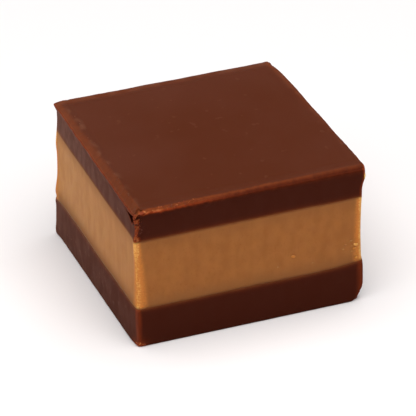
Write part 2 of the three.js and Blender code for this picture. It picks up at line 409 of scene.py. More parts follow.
FLOOR_ROUGHNESS = 0.8
FLOOR_GLOSS = 0.1

# Studio, in metres: half the floor's width, the lights, which look at the foot of the block, with their
# places, sizes and powers, and the light from all round
FLOOR_HALF = 1.5
SOFTBOXES = {
    "overhead softbox": {"place": (-0.02, -0.08, 0.4), "size": 0.6, "power": 3.1},
    "fill on the left": {"place": (-0.5, -0.1, 0.2), "size": 0.3, "power": 0.4},
}
WORLD_LIGHT = 0.1

# Camera: where it stands round the block, how far off, the point it looks at, and its lens
VIEW_AZIMUTH = math.radians(-22.34)
VIEW_ELEVATION = math.radians(30.59)
VIEW_DISTANCE = 382.5 * MM
VIEW_AIM = Vector((-0.407, -1.762, 8.322)) * MM
LENS = 311.5
SENSOR = 36.0
NEAREST = 0.01
FARTHEST = 10


# Shape of the block

def ripple(a, b, seed):
    """Smooth noise from -1 to 1 over two measures."""
    return noise.noise(Vector((a, b, seed)))


def blend(first, second, share):
    return first + (second - first) * share


def between(ends, place):
    """The value at a place along a side, from -1 to 1, between the values at the side's two ends."""
    return blend(ends[0], ends[1], (1 + place) / 2)


def smoothstep(value, low, high):
    """Eases from 0 at low to 1 at high."""
    t = min(max((value - low) / (high - low), 0.0), 1.0)
    return t * t * (3 - 2 * t)


def bell(distance, half_width):
    """A bell curve of height 1."""
    return math.exp(-((distance / half_width) ** 2))


def plateau(distance, half_width):
    """A curve of height 1 that stays flat before it falls to half at the half width."""
    return 1 - smoothstep(distance, 0.5 * half_width, 1.5 * half_width)


def crowd(place):
    """Moves an even place from -1 to 1 so that places crowd towards both ends."""
    return math.copysign(1 - (1 - abs(place)) ** EDGE_CROWD, place)


def side_places(u, v):
    """For each side, the distance in plan from it and the place along it from -1 to 1."""
    return {
        "left": ((1 + u) * WIDTH / 2, v),
        "right": ((1 - u) * WIDTH / 2, v),
        "front": ((1 + v) * DEPTH / 2, u),
        "back": ((1 - v) * DEPTH / 2, u),
    }


def top_height(u, v):
    """Height of the top at a place in plan."""
    squares = 0.0
    relief = TOP_SWELL * ripple(u * WIDTH * TOP_SWELL_PER_MM, v * DEPTH * TOP_SWELL_PER_MM, TOP_SWELL_SEED)
    for name, (distance, place) in side_places(u, v).items():
        side = SIDES[name]
        slope = between(side["slope"], place)
        fall = max(0.0, 1 - distance / slope) ** side["curve"]
        squares += (between(side["drop"], place) * fall) ** 2
        relief += side["ridge"] * bell(distance - slope, RIDGE_HALF_WIDTH)
        relief -= side["groove"] * bell(distance - slope - GROOVE_BEYOND, GROOVE_HALF_WIDTH)
    return HEIGHT - math.sqrt(squares) + relief


def seam_height(seam, u, v):
    """Height of a seam at a place in plan."""
    x = u * WIDTH / 2
    y = v * DEPTH / 2
    from_corner = math.hypot(seam["corner"][0] * WIDTH / 2 - x, seam["corner"][1] * DEPTH / 2 - y)
    wave = SEAM_WAVE * ripple(x * SEAM_WAVE_PER_MM, y * SEAM_WAVE_PER_MM, seam["seed"])
    return seam["height"] + wave + sum(rise * bell(from_corner, run) for rise, run in seam["rises"])


def quarter_round(radius, distance):
    """How far a rounded edge draws in at a distance from its end."""
    return radius - math.sqrt(radius**2 - (radius - distance) ** 2)


def face_inset(side, z, below_lip, place, along):
    """How far a cut face lies inside the block's box, at a height, below the lip and along the side."""
    seed = side["seed"]
    tuck = smoothstep(below_lip, 0.0, side["tuck"])
    foot_share = smoothstep(BASE_TOP + FOOT_BLEND - z, 0.0, 2 * FOOT_BLEND)
    leaning = between(side["face"], place) + side["lean"] * (z - BASE_TOP - CREAM_THICK / 2)
    face = blend(leaning, between(side["foot"], place), foot_share)
    wave = LIP_WAVE * (1 + math.sin(2 * math.pi * along / LIP_WAVE_LENGTH)) / 2
    coarse = ripple(along * CRUMB_PER_MM, z, seed)
    fine = ripple(along * CRUMB_PER_MM * FINE_CRUMB_ALONG, z * FINE_CRUMB_UP, seed)
    crumbled = wave + between(side["crumb"], place) * (coarse + fine)
    inset = blend(between(side["lip"], place) + crumbled, face, tuck)
    if below_lip < LIP_ROUND:
        inset += quarter_round(LIP_ROUND, below_lip)
    if BASE_TOP < z < CREAM_TOP:
        inset += CREAM_WAIST * math.sin(math.pi * (z - BASE_TOP) / CREAM_THICK)
    if z < BASE_TOP:
        inset -= BASE_SWELL * math.sin(math.pi * z / BASE_TOP)
    if z < FOOT_RADIUS:
        inset += quarter_round(FOOT_RADIUS, z)
    streak = side["streak"] * ripple(along * STREAK_PER_MM, z * STREAK_STRETCH, seed + STREAK_SEED)
    dent = DENT * ripple(along * DENT_PER_MM, z * DENT_PER_MM, seed + DENT_SEED)
    return inset + (streak + dent) * tuck


def edge_radius(z):
    """Radius of the upright edges at a height."""
    down_cream = (CREAM_TOP - z) / CREAM_THICK
    growth = CREAM_EDGE_GROWTH * max(0.0, min(down_cream, (1 - down_cream) / CREAM_EDGE_STOP))
    radius = blend(BASE_EDGE_RADIUS, EDGE_RADIUS, smoothstep(z, 0.0, BASE_TOP))
    return growth + blend(radius, LIP_EDGE_RADIUS, smoothstep(z, CREAM_TOP, HEIGHT))


def round_uprights(x, y, low, high, radius):
    """Draws the square corners in to quarter discs."""
    core_x = min(max(x, low[0] + radius), high[0] - radius)
    core_y = min(max(y, low[1] + radius), high[1] - radius)
    over_x = x - core_x
    over_y = y - core_y
    reach = math.hypot(over_x, over_y)
    if reach == 0:
        return x, y
    draw = max(abs(over_x), abs(over_y)) / reach
    return core_x + over_x * draw, core_y + over_y * draw


def squeeze(spot, z, from_edge):
    """How far a squeezed place stands out, at a height and a distance along the side from its edge."""
    rise = spot["rise"][0] if z < spot["height"] else spot["rise"][1]
    return spot["out"] * bell(z - spot["height"], rise) * bell(from_edge, spot["run"])


def block_point(u, v, z):
    """A point of the block at a place in plan, from -1 to 1 each way, and a height."""
    below_lip = max(0.0, top_height(u, v) - z)
    along_x = u * WIDTH / 2
    along_y = v * DEPTH / 2
    low = (
        -WIDTH / 2 + face_inset(SIDES["left"], z, below_lip, v, along_y),
        -DEPTH / 2 + face_inset(SIDES["front"], z, below_lip, u, along_x),
    )
    high = (
        WIDTH / 2 - face_inset(SIDES["right"], z, below_lip, v, along_y),
        DEPTH / 2 - face_inset(SIDES["back"], z, below_lip, u, along_x),
    )
    x = between((low[0], high[0]), u)
    y = between((low[1], high[1]), v)
    x, y = round_uprights(x, y, low, high, edge_radius(z))
    from_back = (1 - v) * DEPTH / 2
    from_front = (1 + v) * DEPTH / 2
    leftward = squeeze(CREST, z, from_front) + squeeze(FOOT_DRAW, z, from_front)
    leftward += sum(squeeze(wave, z, from_back) for wave in BACK_LEFT_WAVES)
    rightward = squeeze(FLAP, z, from_front) + squeeze(BACK_RIGHT_DRAW, z, from_back)
    # What a side is squeezed out by dies away across the block
    x -= ((1 - u) / 2) ** 2 * leftward
    x += ((1 + u) / 2) ** 2 * rightward
    return Vector((x, y, z))


def break_corner(point):
    """Takes a point back to the rough plane of the broken corner, if it lies beyond it."""
    corner = Vector((WIDTH / 2 - SIDES["right"]["foot"][0], -DEPTH / 2 + SIDES["front"]["foot"][1], 0))
    along = corner - Vector((CHIP_ALONG, 0, 0))
    back = corner + Vector((0, CHIP_BACK, 0))
    up = corner + Vector((0, 0, CHIP_UP))
    outward = (back - along).cross(up - along).normalized()
    beyond = (point - along).dot(outward) + CHIP_ROUGH * noise.noise(point * CHIP_ROUGH_PER_MM)
    if beyond < -CHIP_SOFTEN:
        return point
    cut = (beyond + CHIP_SOFTEN) ** 2 / (4 * CHIP_SOFTEN) if beyond < CHIP_SOFTEN else beyond
    moved = point - outward * cut
    moved.z = max(moved.z, 0.0) if point.z > 0 else 0.0
    return moved


def gouge_inside(y, z):
    """How far inside the gouge's outline a place on the left face lies."""
    place = Vector((y, z))
    corners = [Vector((-DEPTH / 2 + from_front, HEIGHT - below)) for from_front, below in GOUGE_CORNERS]
    edges = [(corners[i - 1], corners[i - 2]) for i in range(3)]
    return min((end - start).normalized().cross(place - start) for start, end in edges)


def gouge_share(y, z):
    """How much of the gouge's depth a place on the left face has."""
    return smoothstep(gouge_inside(y, z), 0.0, GOUGE_RAMP)


def gouge(point):
    """Presses the three-cornered gouge into the left face."""
    if point.x < 0:
        point.x += GOUGE_DEPTH * gouge_share(point.y, point.z)
    return point


def crumble_corner(point):
    """Crumbles the front left upright edge."""
    from_left = point.x + WIDTH / 2
    from_front = point.y + DEPTH / 2
    from_edge = math.hypot(from_left - CORNER_CRUMBLE_INSIDE, from_front - CORNER_CRUMBLE_INSIDE)
    coarse = noise.noise(point * CORNER_CRUMBLE_PER_MM)
    fine = noise.noise(point * CORNER_CRUMBLE_PER_MM * CORNER_FINE_CLOSER)
    rough = coarse + CORNER_FINE_SHARE * fine
    push = CORNER_CRUMBLE * rough * bell(from_edge, CORNER_CRUMBLE_REACH)
    return point + Vector((push, push, 0))


# Wear of the block

def distance_from_upright(u, v):
    """Distance of a place on a cut face from the nearest upright edge."""
    return sorted(distance for distance, place in side_places(u, v).values())[1]


def crumbled_pits(u, v, z):
    """Pits along the crumbled front left edge of the top layer, from 0 to 1. Shade is painted into them."""
    from_upright = distance_from_upright(u, v)
    rough = ripple(z * CRUMBLED_PITS_PER_MM, from_upright * CRUMBLED_PITS_PER_MM, CRUMBLED_PIT_SEED)
    return 1 - smoothstep(rough, *CRUMBLED_PIT_OVER)


def wall_hollow_shade(u, v, z):
    """How deep in the gouge or in a pit a place on the cut faces lies, from 0 to 1, which is how much
    painted shade darkens it.
    """
    if u > 0 or z < seam_height(UPPER_SEAM, u, v):
        return 0.0
    hollow_shade = gouge_share(v * DEPTH / 2, z)
    if v < 0:
        beside = plateau(distance_from_upright(u, v), CRUMBLED_EDGE_WEAR[1])
        hollow_shade = max(hollow_shade, CRUMBLED_PIT_SHADE * beside * crumbled_pits(u, v, z))
    return hollow_shade


def upright_wear_and_highlight(u, v, z):
    """Wear along the upright edges, partly painted highlight and glow. In the cream, the lower half of it
    is worn and the upper half a bare painted highlight.
    """
    from_upright = distance_from_upright(u, v)
    widen = 1.0
    if z <= seam_height(LOWER_SEAM, u, v):
        share, half_width = BASE_RIGHT_EDGE_WEAR if u > 0 else BASE_LEFT_EDGE_WEAR
        if u < 0 and v < 0:
            along_foot = BASE_FOOT_WEAR * bell(z, BASE_FOOT_HEIGHT) * bell(from_upright, BASE_FOOT_REACH)
            return max(along_foot, share * plateau(from_upright, half_width))
    elif z <= seam_height(UPPER_SEAM, u, v):
        edge = CREAM_RIGHT_EDGE if u > 0 else CREAM_LEFT_EDGE
        down_cream = (CREAM_TOP - z) / CREAM_THICK
        lower = smoothstep(down_cream, 0.0, CREAM_EDGE_TOP_SHARE)
        bare_highlight = (1 - edge["fade"] * lower) * plateau(from_upright, blend(*edge["bare_highlight"], lower))
        share = (1 + bare_highlight) / 2
        half_width = edge["half_width"]
        widen += CREAM_EDGE_WIDENING * down_cream
    elif v > 0:
        share, half_width = TOP_EDGE_WEAR
    elif u > 0:
        share, half_width = FLAP_EDGE_WEAR if z > FLAP["height"] - FLAP["rise"][0] else TOP_EDGE_WEAR
    else:
        share, half_width = CRUMBLED_EDGE_WEAR
        foot = bell(z - CREAM_TOP, CRUMBLED_FOOT)
        share *= max(CRUMBLED_FOOT_WEAR * foot, 1 - crumbled_pits(u, v, z))
        widen += foot
    return share * plateau(from_upright, half_width * widen)


def roll_share(wear, place):
    """How far the strip inside a lip rolls over into a cut face, from 0 to 1, at a place along the side."""
    return min(max(between(wear["roll"], place), 0.0), 1.0)


def lip_wear_and_highlight(wear, place, along, below_lip):
    """Wear, partly painted glow, on a cut face below its lip, with a notched lower end."""
    line = between(wear["line"], place) * bell(below_lip, LIP_LINE)
    notch = between(wear["notch"], place) * ripple(along * LIP_NOTCHES_PER_MM, 0.0, LIP_NOTCH_SEED)
    strip = between(wear["strip"], place) * (1 - ROLL_SHADE * roll_share(wear, place))
    return max(line, strip * bell(below_lip, between(wear["fade"], place) * (1 + notch)))


def wall_marks(u, v, z):
    """What is kept of a place on the cut faces."""
    worn_and_lit = upright_wear_and_highlight(u, v, z)
    if u < 0:
        # The gouge's rim gets a painted highlight
        worn_and_lit = max(worn_and_lit, GOUGE_RIM_HIGHLIGHT * bell(gouge_inside(v * DEPTH / 2, z), GOUGE_RIM))
    hollow_shade = wall_hollow_shade(u, v, z)
    below_lip = top_height(u, v) - z
    along = (u * WIDTH + v * DEPTH) / 2
    scuff_and_sheen = 0.0
    near_all = 0.0
    for name, (distance, place) in side_places(u, v).items():
        near = bell(distance, LIP_LINE)
        wear = SIDE_WEAR_AND_HIGHLIGHTS[name]
        worn_and_lit = max(worn_and_lit, near * lip_wear_and_highlight(wear, place, along, below_lip))
        scuff_and_sheen += near * between(wear["scuff_and_sheen"], place) * smoothstep(below_lip, 0.0, wear["plain_below_lip"])
        near_all += near
    scuff_and_sheen *= (1 - hollow_shade) / near_all
    if z < BASE_TOP:
        scuff_and_sheen *= BASE_SCUFF_AND_SHEEN
    low = seam_height(LOWER_SEAM, u, v)
    high = seam_height(UPPER_SEAM, u, v)
    from_low = abs(z - low)
    from_high = abs(z - high)
    from_seam = min(from_low, from_high)
    if not low <= z <= high:
        worn_and_lit = max(worn_and_lit, SEAM_WEAR * bell(from_seam, SEAM_WEAR_REACH))
    return {
        "worn_and_lit": worn_and_lit,
        "cut": 1.0,
        "scuff_and_sheen": scuff_and_sheen,
        "seam": bell(from_seam, SEAM_SMEAR),
        "stain_and_shade": max(LOWER_SEAM_SHADE * bell(from_low, STAIN_AND_SHADE_REACH), UPPER_STAIN * bell(from_high, STAIN_AND_SHADE_REACH)),
        "hollow_shade": hollow_shade,
    }


def top_marks(u, v):
    """What is kept of a place on the top."""
    worn_and_lit = 0.0
    cut = 0.0
    scuff_and_sheen = 0.0
    for name, (distance, place) in side_places(u, v).items():
        wear = SIDE_WEAR_AND_HIGHLIGHTS[name]
        side = SIDES[name]
        width = between(wear["width"], place)
        roll = roll_share(wear, place) * (1 - smoothstep(distance, 0.0, width))
        on_strip = 1 - smoothstep(distance, wear["hold"] * width, width)
        on_line = bell(distance, LIP_LINE)
        strip = between(wear["strip"], place) * on_strip
        rim = between(wear["rim"], place) * bell(distance - RIM_SHARE * width, LIP_LINE)
        worn_and_lit = max(worn_and_lit, strip * (1 - ROLL_SHADE * roll), rim, between(wear["line"], place) * on_line)
        cut = max(cut, roll)
        patch = smoothstep(ripple(place * RIDGE_PATCHES, distance, side["seed"]), *RIDGE_PATCH_OVER)
        on_ridge = bell(distance - between(side["slope"], place), RIDGE_HIGHLIGHT)
        scuff_and_sheen = max(scuff_and_sheen, patch * between(wear["scuff_and_sheen"], place) * on_ridge)
        scuff_and_sheen = max(scuff_and_sheen, wear["strip_sheen"] * on_strip, wear["line_highlight"] * on_line)
    return {**NO_MARKS, "worn_and_lit": worn_and_lit, "cut": cut, "scuff_and_sheen": scuff_and_sheen}


# Meshes

def draw_rim(bm, rim):
    """Draws new edges out of a rim, and gives them with their vertices."""
    drawn = bmesh.ops.extrude_edge_only(bm, edges=rim)["geom"]
    verts = [part for part in drawn if isinstance(part, bmesh.types.BMVert)]
    fresh = set(verts)
    edges = [part for part in drawn if isinstance(part, bmesh.types.BMEdge)]
    return [edge for edge in edges if fresh.issuperset(edge.verts)], verts


def layer_walls(levels, keep_top):
    """A square grid with walls drawn down from its rim, in even levels from height 1 to 0, closed below."""
    bm = bmesh.new()
    bmesh.ops.create_grid(bm, x_segments=GRID, y_segments=GRID, size=1)
    bmesh.ops.translate(bm, vec=(0, 0, 1), verts=bm.verts)
    top_faces = bm.faces[:]
    top_rim = [edge for edge in bm.edges if edge.is_boundary]
    rim = top_rim
    for _ in range(levels):
        rim, verts = draw_rim(bm, rim)
        bmesh.ops.translate(bm, vec=(0, 0, -1 / levels), verts=verts)
    rim, verts = draw_rim(bm, rim)
    bmesh.ops.scale(bm, vec=(UNDERSIDE_SHARE, UNDERSIDE_SHARE, 1), verts=verts)
    bmesh.ops.contextual_create(bm, geom=rim)
    if not keep_top:
        bmesh.ops.delete(bm, geom=top_faces, context="FACES")
        bmesh.ops.contextual_create(bm, geom=[edge for edge in top_rim if edge.is_valid])
    return bm


def put_in_scene(name, data):
    """Makes an object and links it into the scene."""
    made = bpy.data.objects.new(name, data)
    bpy.context.scene.collection.objects.link(made)
    return made


def put_mesh_in_scene(bm, name, materials):
    mesh = bpy.data.meshes.new(name)
    bm.to_mesh(mesh)
    bm.free()
    for material in materials:
        mesh.materials.append(material)
    return put_in_scene(name, mesh)


def finish_piece(bm, name, materials, stands_for=None):
    """Puts a piece into metres and into the scene."""
    bmesh.ops.recalc_face_normals(bm, faces=bm.faces)
    bmesh.ops.scale(bm, vec=(MM, MM, MM), verts=bm.verts)
    for face in bm.faces:
        face.smooth = True
    piece = put_mesh_in_scene(bm, name, materials)
    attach(piece, "root")
    if stands_for:
        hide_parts(stands_for)


def shape_layer(bm, height_at, finish_point):
    """Moves a layer to its place on the block, and marks its cut faces and its top."""
    layers = {name: bm.verts.layers.float.new(name) for name in MARKS}
    for vert in bm.verts:
        u = crowd(vert.co.x)
        v = crowd(vert.co.y)
        z = height_at(min(max(vert.co.z, 0.0), 1.0), u, v)
        if max(abs(u), abs(v)) > WALL_SHARE:
            marks = wall_marks(u, v, z)
        elif vert.co.z > MIDDLE_LEVEL:
            marks = top_marks(u, v)
        else:
            marks = NO_MARKS
        for name, layer in layers.items():
            vert[layer] = marks[name]
        vert.co = finish_point(block_point(u, v, z))


def top_layer(poured, cut):
    """The top layer, with the poured finish on top and the cut one round its sides."""
    bm = layer_walls(TOP_LEVELS, keep_top=True)
    for face in bm.faces:
        face.material_index = 0 if min(vert.co.z for vert in face.verts) == 1 else 1

    def height_at(level, u, v):
        return blend(seam_height(UPPER_SEAM, u, v), top_height(u, v), 1 - (1 - level) ** LEVEL_CROWD)

    shape_layer(bm, height_at, lambda point: crumble_corner(gouge(point)))
    finish_piece(bm, "gianduja_top", [poured, cut], "top_layer")


def cream_layer(material):
    bm = layer_walls(CREAM_LEVELS, keep_top=False)

    def height_at(level, u, v):
        return blend(seam_height(LOWER_SEAM, u, v), seam_height(UPPER_SEAM, u, v), level)

    shape_layer(bm, height_at, lambda point: point)
    finish_piece(bm, "hazelnut_cream", [material], "cream_layer")


def base_layer(material):
    bm = layer_walls(BASE_LEVELS, keep_top=False)

    def height_at(level, u, v):
        return seam_height(LOWER_SEAM, u, v) * level**LEVEL_CROWD

    shape_layer(bm, height_at, break_corner)
    finish_piece(bm, "gianduja_base", [material], "base_layer")


# Crumbs and flakes

def new_crumbs():
    """An empty mesh whose crumbs can be marked."""
    bm = bmesh.new()
    for name in MARKS:
        bm.verts.layers.float.new(name)
    return bm


def add_crumb(bm, place, lengths, turn, marks):
    """Adds one rough crumb, by its three lengths and its turn, and marks how it is worn."""
    shape = turn.to_matrix().to_4x4() @ Matrix.Diagonal((*lengths, 1))
    made = bmesh.ops.create_icosphere(bm, subdivisions=CRUMB_SUBDIVISIONS, radius=0.5, matrix=shape)
    for vert in made["verts"]:
        vert.co *= 1 + CRUMB_ROUGH * noise.noise(vert.co * (CRUMB_ROUGH_CLOSE / lengths[0]) + place)
        for name, share in marks.items():
            vert[bm.verts.layers.float[name]] = share
    bmesh.ops.translate(bm, vec=place, verts=made["verts"])


def drop_crumb(bm, place, length, wear, chance):
    """Drops one flat crumb of a length, any way round and worn by chance up to the wear given."""
    width = length * chance.uniform(*CRUMB_SHARES["width"])
    thickness = length * chance.uniform(*CRUMB_SHARES["thickness"])
    turn = Euler([chance.uniform(0, 2 * math.pi) for _ in range(3)])
    worn_and_lit = wear * chance.uniform(*CRUMB_SHARES["worn_and_lit"])
    scuff_and_sheen = wear * chance.uniform(*CRUMB_SHARES["scuff_and_sheen"])
    add_crumb(bm, place, (length, width, thickness), turn, {"worn_and_lit": worn_and_lit, "cut": 1.0, "scuff_and_sheen": scuff_and_sheen})


def surface_place(x, y):
    """A place on the top, by X and Y."""
    u = 2 * x / WIDTH
    v = 2 * y / DEPTH
    return block_point(u, v, top_height(u, v))


def round_edge(from_edge):
    """A place in plan beside the front left edge, on the front face or, below 0, on the left face."""
    return -1 + 2 * max(from_edge, 0.0) / WIDTH, -1 + 2 * max(-from_edge, 0.0) / DEPTH


def lip_crumbs(bm, chance):
    """The crumbled burr along the left part of the front lip."""
    for _ in range(LIP_CRUMBS["count"]):
        x = -WIDTH / 2 + WIDTH * chance.triangular(*LIP_CRUMBS["along"])
        place = surface_place(x, -DEPTH / 2 + chance.uniform(0.0, LIP_CRUMBS["inside"]))
        drop_crumb(bm, place, chance.uniform(*LIP_CRUMBS["length"]), LIP_CRUMBS["wear"], chance)


def corner_crumbs(bm, chance):
    """Crumbs on the broken front left edge of the top layer, round on both of its faces."""
    for _ in range(CORNER_CRUMBS["count"]):
        z = chance.uniform(*CORNER_CRUMBS["height"])
        from_edge = chance.uniform(*CORNER_CRUMBS["from_edge"])
        place = crumble_corner(block_point(*round_edge(from_edge), z))
        drop_crumb(bm, place, chance.uniform(*CORNER_CRUMBS["length"]), 1 - max(from_edge, 0.0), chance)


def tip_crumbs(bm, chance):
    """Crumbs on the front left tip of the foot, along both of its sides."""
    for _ in range(TIP_CRUMBS["count"]):
        from_edge = chance.uniform(*TIP_CRUMBS["from_edge"])
        z = chance.uniform(*TIP_CRUMBS["height"]) * (1 - TIP_CRUMBS["fall"] * abs(from_edge))
        place = block_point(*round_edge(from_edge), z)
        drop_crumb(bm, place, chance.uniform(*TIP_CRUMBS["length"]), TIP_CRUMBS["wear"], chance)


def corner_flake(bm):
    """The long flake on the front left corner of the top."""
    lengths = [CORNER_FLAKE["length"] * share for share in CORNER_FLAKE["shares"]]
    place = surface_place(*CORNER_FLAKE["place"]) + Vector((0, 0, CORNER_FLAKE["lift"]))
    add_crumb(bm, place, lengths, Euler((0, 0, CORNER_FLAKE["turn"])), CORNER_FLAKE["marks"])


def gianduja_crumbs(material):
    bm = new_crumbs()
    chance = random.Random(CRUMB_SEEDS["gianduja"])
    lip_crumbs(bm, chance)
    corner_crumbs(bm, chance)
    tip_crumbs(bm, chance)
    corner_flake(bm)
    finish_piece(bm, "gianduja_crumbs", [material])


def ridge_highlight_flakes(material):
    """Thin pale flakes along the ridge inside the left lip, whose paleness is a painted highlight."""
    bm = new_crumbs()
    chance = random.Random(CRUMB_SEEDS["ridge"])
    flakes = RIDGE_HIGHLIGHT_FLAKES
    for _ in range(flakes["count"]):
        along = chance.uniform(-flakes["reach"], flakes["reach"])
        x = -WIDTH / 2 + between(SIDES["left"]["slope"], along) + chance.gauss(0, flakes["scatter"])
        lengths = (flakes["width"], chance.uniform(*flakes["length"]), flakes["thickness"])
        turn = Euler((0, 0, chance.uniform(-flakes["turn"], flakes["turn"])))
        add_crumb(bm, surface_place(x, along * DEPTH / 2), lengths, turn, flakes["marks"])
    finish_piece(bm, "ridge_highlight_flakes", [material])


def cream_flecks(chance):
    """X, height, length and wear of the faint flecks on the front of the cream."""
    flecks = []
    for _ in range(CREAM_FLECKS["count"]):
        rightmost = WIDTH / 2 - CREAM_FLECKS["from_right"]
        x = blend(rightmost, 0.0, chance.random() ** CREAM_FLECKS["crowding"])
        z = blend(*CREAM_FLECKS["height"], chance.random())
        flecks.append((x, z, chance.uniform(*CREAM_FLECKS["length"]), CREAM_FLECKS["wear"]))
    return flecks


def cream_sliver(bm):
    """The sliver of cream that the knife drew up over the squeezed lip at the front right."""
    place = block_point(1, -1, FLAP["height"]) + SLIVER["shift"]
    add_crumb(bm, place, SLIVER["lengths"], Euler((0, 0, 0)), SLIVER["marks"])


def cream_crumbs(material):
    """Lumps and flecks on the front of the cream, most of them towards its right edge, and the sliver."""
    bm = new_crumbs()
    chance = random.Random(CRUMB_SEEDS["cream"])
    for x, z, length, wear in (*CREAM_LUMPS, *cream_flecks(chance)):
        lengths = (length, LUMP["thickness"] * length, chance.uniform(*LUMP["height"]) * length)
        place = block_point(2 * x / WIDTH, -1, z) - Vector((0, LUMP["out"] * length, 0))
        marks = {"worn_and_lit": wear, "cut": 1.0, "scuff_and_sheen": LUMP["scuff_and_sheen"] + LUMP["worn_scuff_and_sheen"] * wear}
        add_crumb(bm, place, lengths, Euler((0, chance.uniform(*LUMP["turn"]), 0)), marks)
    cream_sliver(bm)
    finish_piece(bm, "cream_crumbs", [material])


# Shader nodes

def put(tree, socket, value):
    """Links a socket to another, or sets it."""
    if isinstance(value, bpy.types.NodeSocket):
        tree.links.new(value, socket)
    else:
        socket.default_value = value


def object_place(tree, scale=(1, 1, 1)):
    """Object coordinates, scaled."""
    coordinates = tree.nodes.new("ShaderNodeTexCoord")
    mapping = tree.nodes.new("ShaderNodeMapping")
    mapping.inputs["Scale"].default_value = scale
    tree.links.new(coordinates.outputs["Object"], mapping.inputs["Vector"])
    return mapping.outputs["Vector"]


def noise_field(tree, per_mm, detail, up=1):
    """Noise from 0 to 1."""
    field = tree.nodes.new("ShaderNodeTexNoise")
    field.inputs["Detail"].default_value = detail
    field.inputs["Scale"].default_value = per_mm / MM
    tree.links.new(object_place(tree, (1, 1, up)), field.inputs["Vector"])
    return field.outputs["Fac"]


def remap(tree, value, over, onto=(0, 1)):
    """Eases one stretch of a value onto another."""
    ramp = tree.nodes.new("ShaderNodeMapRange")
    ramp.interpolation_type = "SMOOTHSTEP"
    for name, setting in zip(("From Min", "From Max", "To Min", "To Max"), (*over, *onto)):
        ramp.inputs[name].default_value = setting
    tree.links.new(value, ramp.inputs["Value"])
    return ramp.outputs["Result"]


def patches(tree, over, onto=(0, 1), **look):
    """Noise with the stretch that counts eased onto another."""
    return remap(tree, noise_field(tree, **look), over, onto)


def combine(tree, operation, first, second):
    """A math node."""
    maths = tree.nodes.new("ShaderNodeMath")
    maths.operation = operation
    put(tree, maths.inputs[0], first)
    put(tree, maths.inputs[1], second)
    return maths.outputs["Value"]


def mix_colour(tree, share, first, second):
    """A mix node. Its colour sockets go by number, because other kinds in the node share their names."""
    mix = tree.nodes.new("ShaderNodeMix")
    mix.data_type = "RGBA"
    put(tree, mix.inputs[0], share)
    put(tree, mix.inputs[6], first)
    put(tree, mix.inputs[7], second)
    return mix.outputs[2]


def attribute(tree, name):
    """One of the marks kept on the mesh."""
    reader = tree.nodes.new("ShaderNodeAttribute")
    reader.attribute_name = name
    return reader.outputs["Fac"]


def new_group(name, output):
    """An empty node group with one value output, and the socket that feeds it."""
    group = bpy.data.node_groups.new(name, "ShaderNodeTree")
    group.interface.new_socket(output, in_out="OUTPUT", socket_type="NodeSocketFloat")
    return group, group.nodes.new("NodeGroupOutput").inputs[output]


def patchy_mark(name, output, mark, look):
    """One of the marks, broken up by patches."""
    group, out = new_group(name, output)
    group.links.new(combine(group, "MULTIPLY", attribute(group, mark), patches(group, **look)), out)
    return group


def knife_streaks():
    """Upright streaks that the knife left on the cut faces."""
    group, out = new_group("knife streaks", "Streak")
    both = combine(group, "MULTIPLY", patches(group, **FINE_STREAKS), patches(group, **TALL_STREAKS))
    group.links.new(combine(group, "MULTIPLY", both, attribute(group, "cut")), out)
    return group


def fine_grain():
    """Fine grain of ground nuts and cocoa, on the cut faces only."""
    group, out = new_group("fine grain", "Grain")
    group.links.new(combine(group, "MULTIPLY", noise_field(group, **GRAIN), attribute(group, "cut")), out)
    return group


def use(tree, group):
    """Puts a node group into a material, and gives its output."""
    user = tree.nodes.new("ShaderNodeGroup")
    user.node_tree = group
    return user.outputs[0]


# Materials

def new_material(name):
    material = bpy.data.materials.new(name)
    material.use_nodes = True
    tree = material.node_tree
    return material, tree, tree.nodes["Principled BSDF"]


def let_light_in(shader, glow):
    """Lets light a little way into a finish."""
    shader.inputs["Subsurface Weight"].default_value = glow["weight"]
    shader.inputs["Subsurface Radius"].default_value = glow["radius"]
    shader.inputs["Subsurface Scale"].default_value = glow["scale"] * MM


def cut_relief(tree, grain, streaks, scuff_and_sheen, relief):
    """The normal of a cut face, from its grain and from its streaks where it is scuffed and given painted
    sheen.
    """
    streak = combine(tree, "MULTIPLY", streaks, combine(tree, "MULTIPLY", scuff_and_sheen, relief["streak"]))
    height = combine(tree, "ADD", combine(tree, "MULTIPLY", grain, relief["grain"]), streak)
    bump = tree.nodes.new("ShaderNodeBump")
    bump.inputs["Strength"].default_value = relief["strength"]
    bump.inputs["Distance"].default_value = relief["depth"] * MM
    tree.links.new(height, bump.inputs["Height"])
    return bump.outputs["Normal"]


def seam_colour(tree, scuff_and_sheen):
    """The smear over a seam, paler where the cut face is scuffed and given painted sheen."""
    return mix_colour(tree, scuff_and_sheen, SEAM_BROWN, SCUFF_AND_SHEEN_SEAM)


def poured_sheen(tree):
    """How far painted sheen pales the poured top towards the left, the right and the back. It is faintly
    clouded too.
    """
    axes = tree.nodes.new("ShaderNodeSeparateXYZ")
    tree.links.new(object_place(tree), axes.inputs["Vector"])
    x = axes.outputs["X"]
    y = axes.outputs["Y"]
    half_width = WIDTH / 2 * MM
    half_depth = DEPTH / 2 * MM
    leftward = remap(tree, x, (0, -half_width), (0, SHEEN["left"]))
    leftward = combine(tree, "MULTIPLY", leftward, remap(tree, y, (-half_depth, 0)))
    rightward = remap(tree, x, (0, half_width), (0, SHEEN["right"]))
    backward = remap(tree, y, (0, half_depth), (0, SHEEN["back"]))
    outward = combine(tree, "MAXIMUM", combine(tree, "MAXIMUM", leftward, rightward), backward)
    return combine(tree, "ADD", outward, patches(tree, **TOP_CLOUDS))


